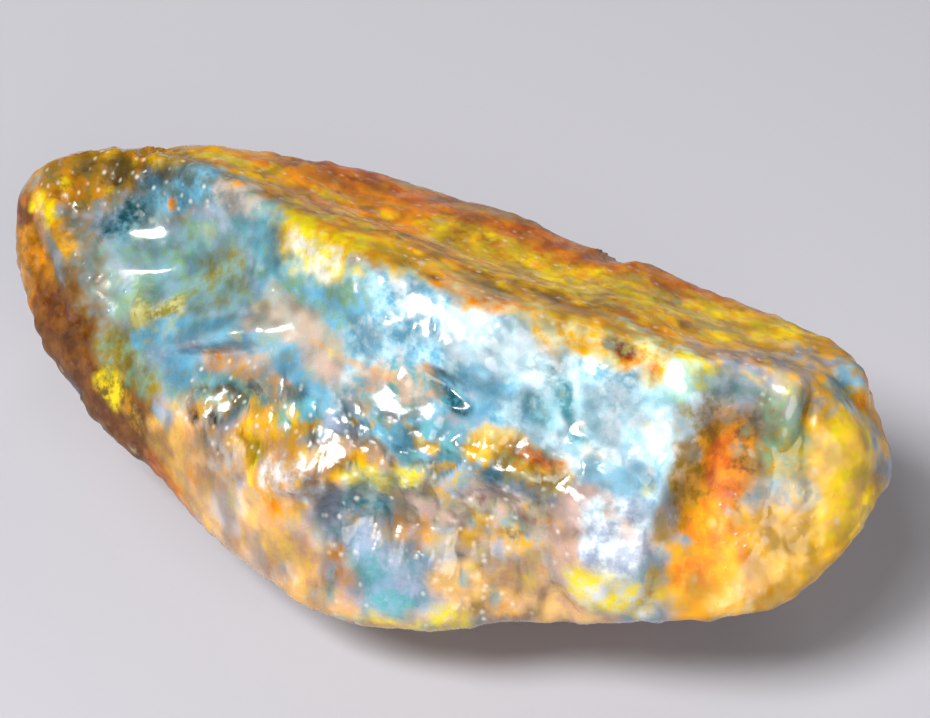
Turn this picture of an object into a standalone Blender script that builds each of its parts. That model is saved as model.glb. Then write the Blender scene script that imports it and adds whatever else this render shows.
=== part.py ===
"""A rough lump of amber: one solid, broken out of the rock and never cut or polished.

It lies on a small flat foot. +X runs along its length, +Y points to the amber-brown back
and +Z up; the origin is on the ground under the middle of its box. All sizes are in metres.
"""
import bmesh
import bpy
import numpy as np
from mathutils import Matrix, Vector

MM = 0.001

HEART = Vector((1.8, 0.0, 8.5)) * MM        # the point that every fracture face is measured from
RAW_SIDE = 120 * MM                         # side of the rough cube the faces are split from
VOXEL = 0.42 * MM                           # grain of the skin before it is thinned
SOFTENING = 0.5                             # how strongly, and how often, worn edges are relaxed
SOFTENING_PASSES = 14
TRIANGLES = 9000                            # faces kept on the finished skin
BALL_SEGMENTS = 48
BALL_RINGS = 28

# Fracture faces: the way each one faces, and its distance from the heart in mm.
FACES = {
    "front left": ((-0.32, -0.65, 0.69), 7.9),
    "front right": ((0.17, -0.70, 0.69), 7.7),
    "front end": ((0.45, -0.62, 0.64), 10.7),
    "front lower": ((0.13, -0.90, 0.42), 8.5),
    "head top": ((-0.35, 0.35, 0.87), 12.4),
    "amber slope": ((0.07, 0.45, 0.89), 6.4),
    "back wall left": ((-0.06, 0.96, 0.25), 10.6),
    "back wall right": ((0.14, 0.95, 0.25), 9.4),
    "back underside": ((0.00, 0.60, -0.80), 10.2),
    "left tip front": ((-0.62, -0.60, 0.50), 14.2),
    "left tip": ((-0.95, -0.13, -0.25), 22.0),
    "left shoulder": ((-0.80, 0.35, 0.48), 21.6),
    "head back": ((-0.37, 0.89, 0.27), 12.3),
    "right back": ((0.40, 0.87, 0.30), 12.3),
    "right shoulder": ((0.65, 0.17, 0.74), 14.4),
    "right upper": ((0.79, 0.61, 0.03), 16.8),
    "right end": ((0.85, -0.34, 0.41), 17.0),
    "right low": ((0.82, -0.55, 0.16), 17.4),
    "right under": ((0.71, -0.05, -0.70), 13.9),
    "keel right": ((0.28, -0.44, -0.85), 8.9),
    "keel left": ((-0.19, -0.46, -0.87), 9.5),
    "left low": ((-0.42, -0.88, 0.22), 10.8),
    "left under": ((-0.44, -0.46, -0.77), 11.7),
    "left low tip": ((-0.62, -0.44, -0.65), 14.6),
    "foot": ((0.00, 0.00, -1.00), 8.8),
}

# Scoops cut with long balls: the face each sits on, its spot on the skin, the way it runs, half its
# length, half its width and how deep it goes, all in mm.
SCOOPS = {
    "flute": ("front end", (15.2, -4.6, 11.2), (0.0, -0.67, -0.74), 4.8, 1.5, 0.8),
    "under ledge": ("front lower", (4.5, -8.6, 9.4), (1.0, 0.0, 0.05), 5.0, 1.9, 0.5),
    "bottom notch": ("front lower", (10.1, -9.2, 6.4), (0.1, -0.3, -0.95), 1.4, 0.8, 0.5),
    "head notch": ("head top", (-14.8, 4.4, 14.0), (0.3, 0.6, -0.7), 1.4, 0.7, 0.5),
    "back notch": ("amber slope", (6.8, 8.2, 11.1), (0.5, 0.85, -0.3), 1.8, 0.9, 0.5),
}

# Dents and swellings: spot, the way it runs, reach along it, reach across it and height in mm, and
# its rim: 1 ends in a crease, 2 fades out softly.
PUSHES = {
    "shell lump": ((11.4, -7.6, 9.7), (0.28, -0.53, -0.8), 3.4, 2.7, 0.9, 1),
    "boss": ((20.0, -0.7, 12.1), (0.2, -0.8, -0.55), 2.8, 2.2, 0.5, 1),
    "pool": ((-10.7, -1.0, 13.2), (0.95, -0.21, 0.24), 5.4, 3.8, -1.3, 2),
    "second pool": ((-8.1, -5.0, 10.7), (0.89, 0.04, 0.45), 4.2, 1.6, -0.7, 2),
    "window": ((-2.1, -4.5, 13.8), (0.96, -0.28, 0.04), 4.5, 2.3, -0.5, 2),
    "right groove": ((18.3, -2.0, 12.8), (0.22, -0.88, -0.42), 3.2, 0.7, -0.5, 2),
    "ledge pocket": ((-5.8, -6.3, 10.5), (0.9, 0.1, 0.4), 2.3, 1.1, -0.6, 2),
    "green groove": ((3.6, -5.2, 13.9), (0.9, -0.4, -0.2), 1.7, 0.7, -0.45, 2),
    "lower pocket": ((1.6, -9.5, 8.4), (0.1, -0.4, -0.9), 2.6, 1.4, -0.6, 2),
    "rib": ((17.3, -1.5, 13.6), (0.15, -0.85, -0.5), 3.6, 1.1, 0.6, 2),
    "blue knob": ((18.8, 3.3, 12.3), (0.6, -0.6, -0.5), 1.8, 1.2, 0.5, 2),
    "nose rim": ((-17.4, -0.3, 10.8), (0.66, -0.68, -0.32), 5.0, 1.6, 0.6, 2),
    "rolled rim": ((-7.5, -4.0, 11.8), (0.89, 0.04, 0.45), 4.6, 1.0, 0.5, 2),
    "ledge bulge": ((-1.8, -8.6, 10.0), (0.97, -0.06, 0.22), 3.4, 1.7, 0.7, 2),
    "ledge band": ((7.3, -6.6, 11.5), (0.98, 0.19, -0.05), 3.6, 1.2, 0.6, 2),
    "bottom swell": ((5.3, -10.2, 5.4), (1.0, 0.0, 0.0), 3.0, 1.9, 0.5, 2),
    "end edge": ((13.8, -4.0, 12.4), (-0.13, -0.76, -0.63), 5.2, 1.1, 0.45, 2),
    "lumpy swell": ((4.4, -3.6, 15.4), (0.98, 0.0, -0.15), 6.5, 2.8, 0.5, 2),
    "mint patch": ((13.3, -2.4, 14.1), (0.6, -0.6, -0.5), 1.9, 1.4, 0.35, 2),
    "slope hollow": ((0.5, 3.4, 14.4), (0.99, 0.05, -0.1), 10.0, 3.2, -0.4, 2),
    "back shell left": ((-4.5, 10.3, 8.0), (0.9, 0.0, -0.4), 5.6, 3.8, -0.6, 2),
    "back shell right": ((9.5, 9.4, 6.5), (0.7, -0.1, 0.7), 5.2, 3.4, -0.6, 2),
    "end dent": ((18.5, 0.5, 6.5), (0.3, -0.7, 0.6), 3.4, 2.4, -0.4, 2),
    "keel dent": ((-3.0, -7.5, 3.2), (1.0, 0.1, 0.1), 5.0, 2.4, -0.4, 2),
}

# Unevenness of the whole skin: how many ripples, their shortest and longest length and height in mm.
SWELL_SEED = 5
SWELL_WAVES = 26
SWELL_SHORTEST = 2.6
SWELL_LONGEST = 9.0
SWELL_HEIGHT = 0.10

AMBER_COLOUR = (0.56, 0.33, 0.13, 1.0)
AMBER_ROUGHNESS = 0.2


def clear_scene():
    for thing in list(bpy.data.objects):
        bpy.data.objects.remove(thing, do_unlink=True)


def make_object(name, bm):
    mesh = bpy.data.meshes.new(name)
    bm.to_mesh(mesh)
    bm.free()
    thing = bpy.data.objects.new(name, mesh)
    bpy.context.scene.collection.objects.link(thing)
    return thing


def split_block():
    """The broken block: a cube with one slice taken off for every fracture face."""
    bm = bmesh.new()
    bmesh.ops.create_cube(bm, size=RAW_SIDE, matrix=Matrix.Translation(HEART))
    for facing, reach in FACES.values():
        normal = Vector(facing).normalized()
        cut = bmesh.ops.bisect_plane(
            bm,
            geom=bm.verts[:] + bm.edges[:] + bm.faces[:],
            plane_co=HEART + normal * reach * MM,
            plane_no=normal,
            clear_outer=True,
        )
        rim = [part for part in cut["geom_cut"] if isinstance(part, bmesh.types.BMEdge)]
        if rim:
            bmesh.ops.contextual_create(bm, geom=rim)
    bmesh.ops.recalc_face_normals(bm, faces=bm.faces)
    return make_object("amber", bm)


def long_ball(name, face, spot, run, half_length, half_width, depth):
    """A ball drawn out along its run, hung so that its cap bites as long, wide and deep as asked."""
    outward = Vector(FACES[face][0]).normalized()
    along = Vector(run)
    along = (along - along.dot(outward) * outward).normalized()
    across = outward.cross(along)
    radius = (half_width**2 + depth**2) / (2 * depth)
    stretch = half_length / half_width
    centre = Vector(spot) + outward * (radius - depth)
    turn = Matrix((along * stretch, across, outward)).transposed().to_4x4()
    place = Matrix.Translation(centre * MM) @ turn @ Matrix.Scale(radius * MM, 4)
    bm = bmesh.new()
    bmesh.ops.create_uvsphere(
        bm, u_segments=BALL_SEGMENTS, v_segments=BALL_RINGS, radius=1.0, matrix=place)
    bmesh.ops.recalc_face_normals(bm, faces=bm.faces)
    ball = make_object(name, bm)
    ball.hide_render = True
    ball.display_type = "WIRE"
    return ball


def scoop_out(lump, ball):
    boolean = lump.modifiers.new(ball.name, "BOOLEAN")
    boolean.operation = "DIFFERENCE"
    boolean.solver = "EXACT"
    boolean.object = ball


def apply_modifiers(thing):
    """Turn what the modifiers show into the object's own mesh."""
    bpy.context.view_layer.update()
    shown = thing.evaluated_get(bpy.context.evaluated_depsgraph_get())
    mesh = bpy.data.meshes.new_from_object(shown)
    thing.modifiers.clear()
    thing.data = mesh


def wear(thing):
    """Fuse everything into one even skin and let its edges round off."""
    remesh = thing.modifiers.new("fuse", "REMESH")
    remesh.mode = "VOXEL"
    remesh.voxel_size = VOXEL
    smooth = thing.modifiers.new("wear", "SMOOTH")
    smooth.factor = SOFTENING
    smooth.iterations = SOFTENING_PASSES
    apply_modifiers(thing)


def swell_heights(points):
    """Height of the unevenness at points in mm: sine ripples running every way, long ones higher."""
    chance = np.random.default_rng(SWELL_SEED)
    heights = np.zeros(len(points))
    power = 0.0
    for _ in range(SWELL_WAVES):
        length = SWELL_SHORTEST * (SWELL_LONGEST / SWELL_SHORTEST) ** chance.random()
        way = chance.normal(size=3)
        way /= np.linalg.norm(way)
        start = chance.random()
        heights += length * np.sin(2 * np.pi * (points @ way / length + start))
        power += length**2
    return SWELL_HEIGHT * heights / np.sqrt(power / 2)


def push_heights(points):
    """Height of the dents and swellings at points in mm, falling to nothing at their reach."""
    heights = np.zeros(len(points))
    for spot, run, length, width, height, rim in PUSHES.values():
        way = np.array(run) / np.linalg.norm(run)
        gap = points - np.array(spot)
        along = gap @ way
        across = (gap**2).sum(axis=1) - along**2
        fade = np.clip(1 - (along / length) ** 2 - across / width**2, 0, 1)
        heights += height * fade**rim
    return heights


def shape_skin(thing):
    """Press every point of the skin in or out along its normal."""
    mesh = thing.data
    points = np.empty(3 * len(mesh.vertices))
    mesh.vertices.foreach_get("co", points)
    points = points.reshape(-1, 3)
    normals = np.empty(3 * len(mesh.vertices))
    mesh.vertex_normals.foreach_get("vector", normals)
    normals = normals.reshape(-1, 3)
    heights = swell_heights(points / MM) + push_heights(points / MM)
    moved = points + normals * heights[:, None] * MM
    mesh.vertices.foreach_set("co", moved.ravel())
    mesh.update()


def thin_out(thing):
    thing.data.calc_loop_triangles()
    decimate = thing.modifiers.new("thin", "DECIMATE")
    decimate.ratio = TRIANGLES / len(thing.data.loop_triangles)
    decimate.use_collapse_triangulate = True
    apply_modifiers(thing)


def flatten_foot(thing):
    """Slice the underside off level with the ground, so that the lump stands on a true flat."""
    bm = bmesh.new()
    bm.from_mesh(thing.data)
    cut = bmesh.ops.bisect_plane(
        bm,
        geom=bm.verts[:] + bm.edges[:] + bm.faces[:],
        plane_co=(0, 0, 0),
        plane_no=(0, 0, -1),
        clear_outer=True,
    )
    rim = [part for part in cut["geom_cut"] if isinstance(part, bmesh.types.BMEdge)]
    bmesh.ops.contextual_create(bm, geom=rim)
    bmesh.ops.triangulate(bm, faces=bm.faces)
    bmesh.ops.recalc_face_normals(bm, faces=bm.faces)
    bm.to_mesh(thing.data)
    bm.free()


def settle(thing):
    """Bring the middle of the box over the origin and its underside down to the ground."""
    corners = [Vector(corner) for corner in thing.bound_box]
    low = Vector([min(corner[axis] for corner in corners) for axis in range(3)])
    high = Vector([max(corner[axis] for corner in corners) for axis in range(3)])
    foot = Vector(((low.x + high.x) / 2, (low.y + high.y) / 2, low.z))
    thing.data.transform(Matrix.Translation(-foot))


def amber_material():
    material = bpy.data.materials.new("amber")
    material.use_nodes = True
    shader = material.node_tree.nodes["Principled BSDF"]
    shader.inputs["Base Color"].default_value = AMBER_COLOUR
    shader.inputs["Roughness"].default_value = AMBER_ROUGHNESS
    shader.inputs["Metallic"].default_value = 0.0
    return material


clear_scene()
amber = split_block()
for name, scoop in SCOOPS.items():
    scoop_out(amber, long_ball(name, *scoop))
apply_modifiers(amber)
wear(amber)
shape_skin(amber)
thin_out(amber)
flatten_foot(amber)
settle(amber)
amber.data.shade_smooth()
amber.data.materials.clear()
amber.data.materials.append(amber_material())
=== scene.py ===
"""A rough lump of amber: its broken skin, its blue, pink and orange zones, and the light on it.

Shapes are worked out in millimetres, as whole arrays, and go into the mesh in metres.
"""
import math

import bpy
import numpy as np
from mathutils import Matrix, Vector


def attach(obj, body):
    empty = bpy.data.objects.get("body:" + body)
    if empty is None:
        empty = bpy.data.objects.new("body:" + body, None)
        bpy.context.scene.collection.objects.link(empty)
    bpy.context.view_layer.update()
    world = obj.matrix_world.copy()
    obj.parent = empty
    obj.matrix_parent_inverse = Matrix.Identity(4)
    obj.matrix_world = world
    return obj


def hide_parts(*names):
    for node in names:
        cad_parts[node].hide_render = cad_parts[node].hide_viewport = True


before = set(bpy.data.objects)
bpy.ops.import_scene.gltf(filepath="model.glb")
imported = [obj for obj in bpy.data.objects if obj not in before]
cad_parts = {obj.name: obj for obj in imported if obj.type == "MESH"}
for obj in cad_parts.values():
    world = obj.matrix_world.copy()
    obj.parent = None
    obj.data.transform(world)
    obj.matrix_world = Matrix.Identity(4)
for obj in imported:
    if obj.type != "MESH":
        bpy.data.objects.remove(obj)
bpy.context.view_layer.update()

MM = 0.001

# The lump's own frame of measures, in mm.
HEART = np.array([1.8, 0.0, 8.5])           # every fracture face is measured from here
SPINE_LEFT = np.array([-11.2, 1.0, 9.0])    # the skin is reached by rays fanning out from this line
SPINE_RIGHT = np.array([13.8, 0.5, 8.5])
CAP_SHARE = 0.24                            # share of the rows that turns round each end of the spine
EDGE_POWER = 20.0                           # how crisply the fracture faces meet
SCOOP_BLEND = 0.9                           # mm over which a scoop's rim is rounded
ROWS = 424
COLUMNS = 226
CROWDED_SIDE = math.radians(140)            # columns crowd round this side, which the camera sees
CROWDING = 0.42
GIRTH_RADIUS = 7.5                          # about how far the skin lies from the spine
LEAST_LEAN = 1e-3                           # a ray that leans less towards a face never meets it
LEAST_LENGTH = 1e-3
NEAREST_BALL = 0.5                          # mm; a ball nearer the spine than this is passed by
MISSED = 99.0                               # length of a ray that passes a ball by
TABLE_SIDE = 48                             # random values along each side of a table of noise
FARTHEST = 9.0                              # beyond any distance that is compared with it
LEAST_RUN = 1e-6                            # keeps a run with no length from dividing by nothing

# Fracture faces: the way each one faces, and its distance from the heart.
FACES = {
    "front left": ((-0.32, -0.65, 0.69), 7.9),
    "front right": ((0.17, -0.70, 0.69), 7.7),
    "front end": ((0.45, -0.62, 0.64), 10.7),
    "front lower": ((0.13, -0.90, 0.42), 8.5),
    "head top": ((-0.35, 0.35, 0.87), 12.4),
    "amber slope": ((0.07, 0.45, 0.89), 6.4),
    "back wall left": ((-0.06, 0.96, 0.25), 10.6),
    "back wall right": ((0.14, 0.95, 0.25), 9.4),
    "back underside": ((0.00, 0.60, -0.80), 10.2),
    "left tip front": ((-0.62, -0.60, 0.50), 14.2),
    "left tip": ((-0.95, -0.13, -0.25), 22.0),
    "left shoulder": ((-0.80, 0.35, 0.48), 21.6),
    "head back": ((-0.37, 0.89, 0.27), 12.3),
    "right back": ((0.40, 0.87, 0.30), 12.3),
    "right shoulder": ((0.65, 0.17, 0.74), 14.4),
    "right upper": ((0.79, 0.61, 0.03), 16.8),
    "right end": ((0.85, -0.34, 0.41), 17.0),
    "right low": ((0.82, -0.55, 0.16), 17.4),
    "right under": ((0.71, -0.05, -0.70), 13.9),
    "keel right": ((0.28, -0.44, -0.85), 8.9),
    "keel left": ((-0.19, -0.46, -0.87), 9.5),
    "left low": ((-0.42, -0.88, 0.22), 10.8),
    "left under": ((-0.44, -0.46, -0.77), 11.7),
    "left low tip": ((-0.62, -0.44, -0.65), 14.6),
    "foot": ((0.00, 0.00, -1.00), 8.8),
}

# Scoops cut with long balls: the face, the spot on the skin, the run, half length, half width, depth.
SCOOPS = {
    "under ledge": ("front lower", (4.5, -8.6, 9.4), (1.0, 0.0, 0.05), 5.0, 1.9, 0.5),
    "bottom notch": ("front lower", (10.1, -9.2, 6.4), (0.1, -0.3, -0.95), 1.4, 0.8, 0.5),
    "head notch": ("head top", (-14.8, 4.4, 14.0), (0.3, 0.6, -0.7), 1.4, 0.7, 0.5),
    "back notch": ("amber slope", (6.8, 8.2, 11.1), (0.5, 0.85, -0.3), 1.8, 0.9, 0.5),
}

# Dents and swellings: spot, run, reach along, reach across, height, and rim: 1 creased, 2 soft.
PUSHES = {
    "shell lump": ((11.4, -7.6, 9.7), (0.28, -0.53, -0.8), 3.4, 2.7, 0.9, 1),
    "boss": ((20.0, -0.7, 12.1), (0.2, -0.8, -0.55), 3.2, 2.5, 0.5, 2),
    "pool": ((-10.7, -1.0, 13.2), (0.95, -0.21, 0.24), 5.4, 3.8, -1.3, 2),
    "second pool": ((-8.1, -5.0, 10.7), (0.89, 0.04, 0.45), 4.2, 1.6, -0.7, 2),
    "window": ((-2.1, -4.5, 13.8), (0.96, -0.28, 0.04), 4.5, 2.3, -0.5, 2),
    "valley": ((15.2, -4.6, 11.2), (0.0, -0.67, -0.74), 6.4, 2.5, -0.95, 2),
    "right groove": ((18.3, -2.0, 12.8), (0.22, -0.88, -0.42), 3.2, 0.7, -0.5, 2),
    "pool shoulder": ((-13.8, 0.0, 12.2), (0.94, 0.0, 0.33), 3.4, 1.6, 0.6, 2),
    "ledge pocket": ((-5.8, -6.3, 10.5), (0.9, 0.1, 0.4), 2.3, 1.1, -0.6, 2),
    "green groove": ((3.6, -5.2, 13.9), (0.9, -0.4, -0.2), 1.7, 0.7, -0.45, 2),
    "lower pocket": ((1.6, -9.5, 8.4), (0.1, -0.4, -0.9), 2.6, 1.4, -0.6, 2),
    "rib": ((17.3, -1.5, 13.6), (0.15, -0.85, -0.5), 3.6, 1.1, 0.6, 2),
    "blue knob": ((18.8, 3.3, 12.3), (0.6, -0.6, -0.5), 1.8, 1.2, 0.5, 2),
    "nose rim": ((-17.4, -0.3, 10.8), (0.66, -0.68, -0.32), 5.0, 1.6, 0.6, 2),
    "rolled rim": ((-7.5, -4.0, 11.8), (0.89, 0.04, 0.45), 4.6, 1.0, 0.5, 2),
    "ledge bulge": ((-1.8, -8.6, 10.0), (0.97, -0.06, 0.22), 3.4, 1.7, 0.7, 2),
    "ledge band": ((7.3, -6.6, 11.5), (0.98, 0.19, -0.05), 3.6, 1.2, 0.6, 2),
    "bottom swell": ((5.3, -10.2, 5.4), (1.0, 0.0, 0.0), 3.0, 1.9, 0.5, 2),
    "end edge": ((13.8, -4.0, 12.4), (-0.13, -0.76, -0.63), 5.2, 1.1, 0.25, 2),
    "lumpy swell": ((4.4, -3.6, 15.4), (0.98, 0.0, -0.15), 6.5, 2.8, 0.5, 2),
    "mint patch": ((13.3, -2.4, 14.1), (0.6, -0.6, -0.5), 1.9, 1.4, 0.35, 2),
    "slope hollow": ((0.5, 3.4, 14.4), (0.99, 0.05, -0.1), 10.0, 3.2, -0.4, 2),
    "back shell left": ((-4.5, 10.3, 8.0), (0.9, 0.0, -0.4), 5.6, 3.8, -0.6, 2),
    "back shell right": ((9.5, 9.4, 6.5), (0.7, -0.1, 0.7), 5.2, 3.4, -0.6, 2),
    "end dent": ((18.5, 0.5, 6.5), (0.3, -0.7, 0.6), 3.4, 2.4, -0.4, 2),
    "keel dent": ((-3.0, -7.5, 3.2), (1.0, 0.1, 0.1), 5.0, 2.4, -0.4, 2),
}

# Forms whose skin is glassy and unbroken.
SMOOTH_FORMS = ("pool", "second pool", "window", "shell lump", "boss", "rib", "rolled rim", "valley")

# Swell of the whole skin: its ripples' number, lengths in mm, and height, root mean square.
SWELL_SEED = 5
SWELL_WAVES = 26
SWELL_SHORTEST = 2.6
SWELL_LONGEST = 9.0
SWELL_HEIGHT = 0.10

# A patch's edges: how far it fades outside and inside them, in mm along and in degrees round.
FADE_OUT, FADE_IN = 1.2, 0.8
FADE_OUT_ROUND, FADE_IN_ROUND = 7, 5

# How broken the skin is: a share everywhere, and more in patches, in mm along and in degrees round.
LEAST_RUBBLE = 0.15
RUBBLE = {
    "ledge": (0.85, (-9, 10), (154, 178)),
    "crown": (0.70, (-20, -10), (60, 92)),
    "ridge": (0.60, (-1, 16), (92, 112)),
    "below the ledge": (0.50, (0, 9), (178, 202)),
    "back slope": (0.35, (-10, 17), (30, 92)),
    "back and underside": (0.35, (-12, 20), (205, 340)),
}
BLISTERED = ((-1, 13), (109, 146))

# How dull the skin is: on the back slope, at both tips (between two distances from the middle, in mm),
# and in patches.
DULL_SLOPE = 0.92
DULL_TIPS = (0.8, 19.0, 20.4)
DULL = {
    "left low": (0.8, (-22, -8), (176, 215)),
    "cheek": (0.85, (-18.5, -13.5), (115, 172)),
    "right end": (0.55, (17.5, 22), (95, 205)),
}
SMOOTH_EDGE = (0.0, 0.4)                    # share of a form's rise over which its skin turns glassy
VALLEY_EDGE = (0.0, 0.5)
SLOPE_EDGE = (5.0, 7.0)                     # mm out from the heart, over which the back slope begins
BEADS_ON_RUBBLE = 0.6
BEADS_LOST_ON_GLASS = 0.8

# Fine relief: share of its full height, size in mm, seed, and for chips the depth of their cracks.
BIG_BLISTERS = (0.8, 2.4, 31)
SMALL_BLISTERS = (0.9, 1.2, 33)
CRUMBS = (0.8, 0.9, 39)
LOW_DOMES = (0.60, 1.1, 37)
BIG_CHIPS = (0.5, 1.3, 41, 0.10)
SMALL_CHIPS = (0.3, 0.8, 43, 0.08)
FLAT_BREAKS = (0.25, 3.0, 47, 0.0)
ROUGHNESS = (1.8, 81, 3)                    # size, seed and octaves of the general roughness
ROUGH_EVERYWHERE, ROUGH_ON_RUBBLE = 0.03, 0.08
CALMER_ON_SLOPE = 0.6
CALMER_ON_BLISTERS = 0.7
CALMER_ON_GLASS = 0.8
FEWER_DOMES_ON_GLASS = 0.5

# A blister: how far its cell strays (mm, over mm), heights as shares of its size, chance and reach.
BLISTER_STRAY = (0.2, 1.4)
BLISTER_LOWEST, BLISTER_SPREAD = 0.08, 0.14
BLISTER_CHANCE = 0.7
BLISTER_REACH = 0.6

# A chip: how far its cell strays (mm, over mm, seed), its height and waves, and a crack's half width.
CHIP_STRAY = (0.35, 1.6, 61)
CHIP_HEIGHT = 0.14
CHIP_WAVES, CHIP_SHIFT = 2.6, 6
CRACK_WIDTH = 0.18

# Camera: where it looks from, and the picture's own measures. The clips are in metres.
PICTURE_WIDTH = 930
CAMERA_AZIMUTH = math.radians(22)
CAMERA_ELEVATION = math.radians(45)
CAMERA_DISTANCE = 110.0                     # mm from the heart
PIXELS_PER_MM = 22.2
HEART_PIXEL = (455, 385)                    # where the heart is seen
MIDDLE_PIXEL = (465, 359)                   # middle of the picture
FILM_WIDTH = 36.0                           # mm
CLIP_NEAR, CLIP_FAR = 0.005, 5.0


def unit(vector):
    vector = np.asarray(vector, float)
    return vector / np.linalg.norm(vector, axis=-1, keepdims=True)


def turned_anyhow(points, chance):
    """Points turned about the origin by a random rotation, so that no lattice lies along the lump."""
    axes, _ = np.linalg.qr(chance.normal(size=(3, 3)))
    return points @ axes


def grain(points, size, seed):
    """Smooth noise from -1 to 1: random values on a turned cubic lattice, blended by smoothstep."""
    side = TABLE_SIDE
    chance = np.random.default_rng(seed)
    table = chance.uniform(-1, 1, (side, side, side))
    place = turned_anyhow(points, chance) / size + 0.5 * side
    cell = np.floor(place).astype(int)
    t = place - cell
    t = t * t * (3 - 2 * t)
    total = np.zeros(points.shape[:-1])
    for corner in np.ndindex(2, 2, 2):
        weight = np.prod(np.where(np.array(corner) == 1, t, 1 - t), axis=-1)
        i, j, k = np.moveaxis((cell + corner) % side, -1, 0)
        total += weight * table[i, j, k]
    return total


def rough(points, size, seed, octaves=3):
    """Layers of grain, each half as large and half as strong as the one before."""
    return sum(grain(points, size / 2**n, seed + n) / 2**n for n in range(octaves))


def cells(points, size, seed):
    """Random points, one in each cube of that size: distance to the nearest one and to the second
    nearest, both as shares of size, and the nearest one's three random numbers."""
    side = TABLE_SIDE
    chance = np.random.default_rng(seed)
    places = chance.random((side, side, side, 3))
    tags = chance.random((side, side, side, 3))
    spot = points / size + 0.5 * side
    cell = np.floor(spot).astype(int)
    first = np.full(points.shape[:-1], FARTHEST)
    second = first.copy()
    tag = np.zeros(points.shape)
    for step in np.ndindex(3, 3, 3):
        near = cell + np.array(step) - 1
        i, j, k = np.moveaxis(near % side, -1, 0)
        distance = np.linalg.norm(near + places[i, j, k] - spot, axis=-1)
        closer = distance < first
        second = np.where(closer, first, np.minimum(second, distance))
        tag = np.where(closer[..., None], tags[i, j, k], tag)
        first = np.where(closer, distance, first)
    return first, second, tag


def spread(points, spot, run, length, width):
    """1 at the spot, falling to 0 at its reach along the run and across it:
    1 - (distance along / length)^2 - (distance across / width)^2."""
    gap = points - np.array(spot)
    along = gap @ unit(run)
    across = (gap**2).sum(axis=-1) - along**2
    return np.clip(1 - (along / length) ** 2 - across / width**2, 0, 1)


def step_between(low, high, values):
    """0 up to low, 1 from high on, and smoothstep between; low may be the larger of the two."""
    t = np.clip((values - low) / (high - low), 0, 1)
    return t * t * (3 - 2 * t)


def fan_of_rays():
    """Starts and directions of the rays: straight out from the spine, turning over at both its ends.

    s runs 0 to 1 along the rows. The tilt from the end's axis goes from 0 to a quarter turn over the
    first share of s, stays there, and goes on to a half turn over the last share. v runs once round, as
    an even turn w less crowding * sin(w - crowded side).
    """
    s = np.linspace(0, 1, ROWS)[:, None]
    w = np.arange(COLUMNS)[None, :] / COLUMNS * 2 * np.pi
    v = w - CROWDING * np.sin(w - CROWDED_SIDE)
    start, end = s / CAP_SHARE, (1 - s) / CAP_SHARE
    tilt = np.where(s < CAP_SHARE, start, np.where(end < 1, 2 - end, 1.0)) * np.pi / 2
    along = np.clip((s - CAP_SHARE) / (1 - 2 * CAP_SHARE), 0, 1)
    origins = SPINE_LEFT + (along + 0 * v)[..., None] * (SPINE_RIGHT - SPINE_LEFT)
    ways = np.stack([-np.cos(tilt) + 0 * v, np.sin(tilt) * np.cos(v), np.sin(tilt) * np.sin(v)], axis=-1)
    return origins, unit(ways)


def broken_block(origins, ways):
    """Length of each ray to the block, from its lengths to all the faces ahead of it: the sum of
    length^-power, to the power -1/power."""
    total = 0
    for facing, reach in FACES.values():
        facing = unit(facing)
        lean = ways @ facing
        ahead = lean > LEAST_LEAN
        length = (reach - (origins - HEART) @ facing) / np.where(ahead, lean, 1)
        total = total + np.where(ahead, np.maximum(length, LEAST_LENGTH) ** -EDGE_POWER, 0)
    return total ** (-1 / EDGE_POWER)


def ball_ahead(origins, ways, face, spot, run, half_length, half_width, depth):
    """Length of each ray to a long ball hung over the skin: the nearer root of the quadratic
    |start + length * way - centre| = 1, with lengths along the run and across it scaled."""
    outward = unit(FACES[face][0])
    run = unit(run)
    run = unit(run - (run @ outward) * outward)
    radius = (half_width**2 + depth**2) / (2 * depth)
    centre = np.array(spot) + outward * (radius - depth)
    long_radius = radius * half_length / half_width

    def product(a, b):
        along_a, along_b = a @ run, b @ run
        return ((a * b).sum(axis=-1) - along_a * along_b) / radius**2 + along_a * along_b / long_radius**2

    start = origins - centre
    square, cross, rest = product(ways, ways), product(start, ways), product(start, start) - 1
    inside = cross**2 - square * rest
    length = (-cross - np.sqrt(np.maximum(inside, 0))) / square
    return np.where((inside > 0) & (length > NEAREST_BALL), length, MISSED)


def softer_minimum(a, b, soft):
    """The smaller of two lengths, rounded where they differ by less than soft."""
    share = np.clip(0.5 + 0.5 * (b - a) / soft, 0, 1)
    return b + (a - b) * share - soft * share * (1 - share)


def swell(points):
    """Unevenness of the whole skin: ripples running every way, the sum of length * sin(2 pi * (place
    along the way / length + start)), scaled to the swell's height."""
    chance = np.random.default_rng(SWELL_SEED)
    heights = np.zeros(points.shape[:-1])
    power = 0.0
    for _ in range(SWELL_WAVES):
        length = SWELL_SHORTEST * (SWELL_LONGEST / SWELL_SHORTEST) ** chance.random()
        way = unit(chance.normal(size=3))
        start = chance.random()
        heights += length * np.sin(2 * np.pi * (points @ way / length + start))
        power += length**2
    return SWELL_HEIGHT * heights / np.sqrt(power / 2)


def pushes(points):
    """Height of all the dents and swellings together: each one's height * spread ^ rim."""
    heights = np.zeros(points.shape[:-1])
    for spot, run, length, width, height, rim in PUSHES.values():
        heights += height * spread(points, spot, run, length, width) ** rim
    return heights


def round_the_lump(points):
    """Where points lie round the lump, in degrees from the back, over the top and down the front."""
    return np.degrees(np.arctan2(points[..., 2] - HEART[2], points[..., 1] - SPINE_LEFT[1])) % 360


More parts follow.
